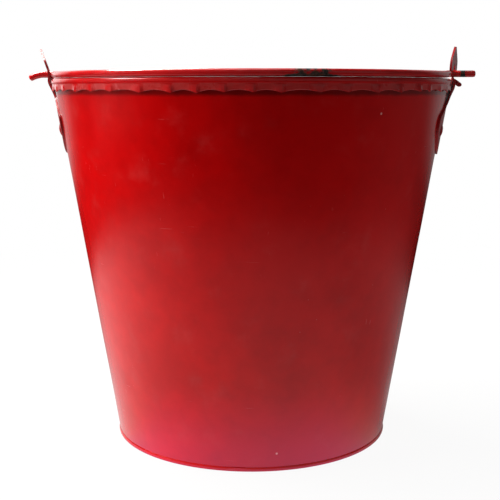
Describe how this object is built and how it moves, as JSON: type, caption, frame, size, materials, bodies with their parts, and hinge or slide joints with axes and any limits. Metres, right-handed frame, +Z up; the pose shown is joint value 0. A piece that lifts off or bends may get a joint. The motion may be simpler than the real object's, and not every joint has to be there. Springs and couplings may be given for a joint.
{
  "type": "fire bucket",
  "caption": "Round tapered sheet-steel fire bucket with a crimped rim, riveted ears and a free-swinging wire bail.",
  "frame": {"origin": "centre of the underside, on the floor that the bucket stands on", "axes": "+Z up through the mouth, X along the bail's hinge with +X to the ear with the tongue, -Y to the side that the bail lies over at rest"},
  "size_m": [0.3474, 0.3008, 0.2999],
  "materials": {
    "red_enamel": "glossy red enamel with faint runs and dust",
    "rim_enamel": "glossy red enamel, rubbed and chipped on the crimps",
    "ear_enamel": "dark red enamel worn to grey steel and rust at the edges",
    "rivet_enamel": "red enamel, rubbed on the crowns",
    "bail_enamel": "red enamel, worn dark where the rod is held and in the eyes",
    "plain_steel": "plain drawn wire"
  },
  "bodies": {
    "bucket": {"wall": "red_enamel", "bottom_pan": "red_enamel", "rim_wire": "plain_steel", "rim_binding": "rim_enamel", "ear_left": "ear_enamel", "ear_right": "ear_enamel", "rivets_left": "rivet_enamel", "rivets_right": "rivet_enamel"},
    "bail": {"bail": "bail_enamel"}
  },
  "joints": [
    {"name": "bail_swing", "type": "hinge", "parent": "bucket", "child": "bail", "pos_m": [0, 0, 0.28], "axis": [-1, 0, 0], "range_deg": [0, 182.3]}
  ]
}
